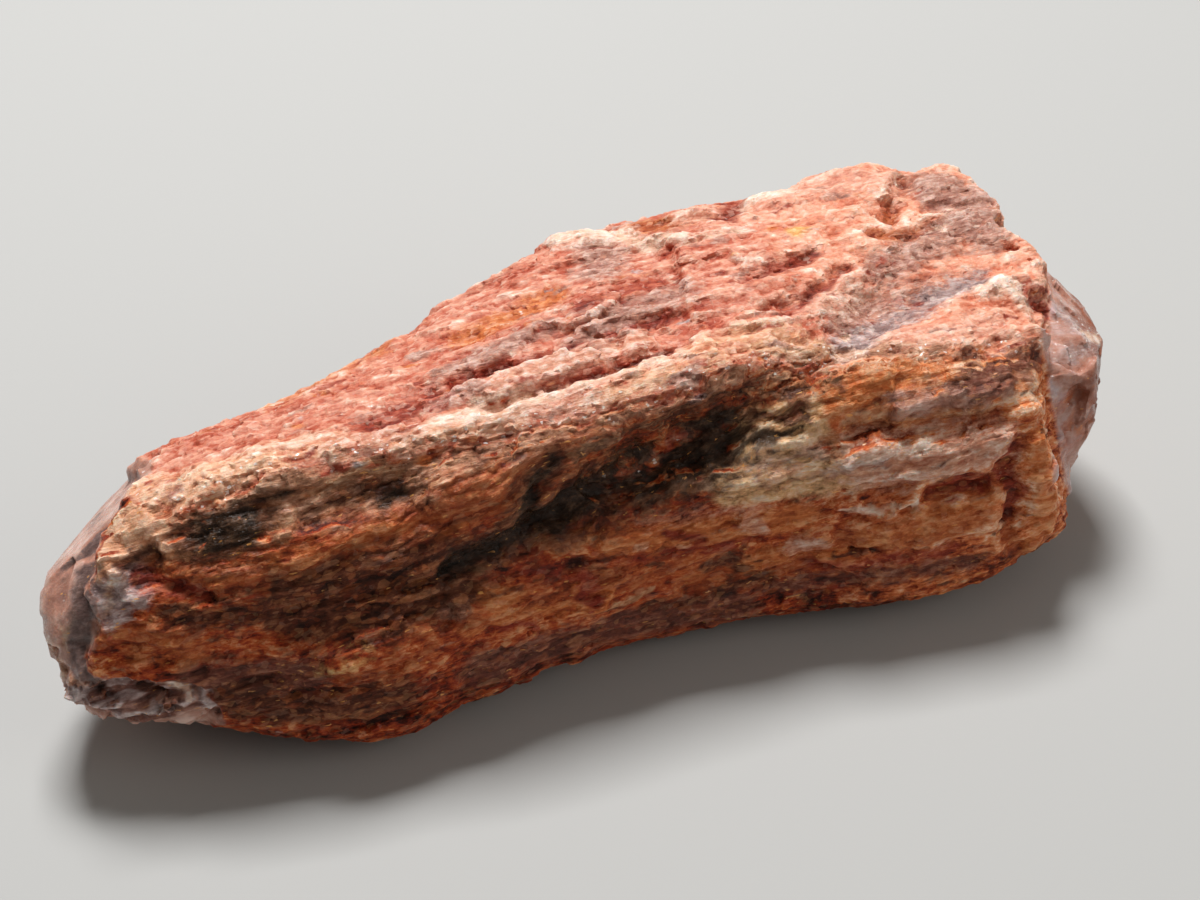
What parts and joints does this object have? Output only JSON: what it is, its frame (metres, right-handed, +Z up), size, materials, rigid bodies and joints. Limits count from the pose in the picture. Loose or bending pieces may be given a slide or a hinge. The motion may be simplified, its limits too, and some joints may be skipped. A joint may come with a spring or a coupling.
{
  "type": "cacoxenite amethyst crystal",
  "caption": "Elongated wedge of amethyst coated and shot through with red-brown fibrous inclusions, lying on a flat long face.",
  "frame": {"origin": "centre of the crystal's box, at the level of the flat face that it lies on", "axes": "+Z up from the face that it lies on, +X along the crystal from its narrow end to its wide end, -Y towards its tall front face"},
  "size_m": [0.0618, 0.0248, 0.0173],
  "materials": {
    "crystal_surface": "rough and crumbly on top, silky and fibrous on its front, with a glassy lustre on the bare amethyst of its ends"
  },
  "bodies": {
    "root": {"crystal": "crystal_surface"}
  },
  "joints": []
}
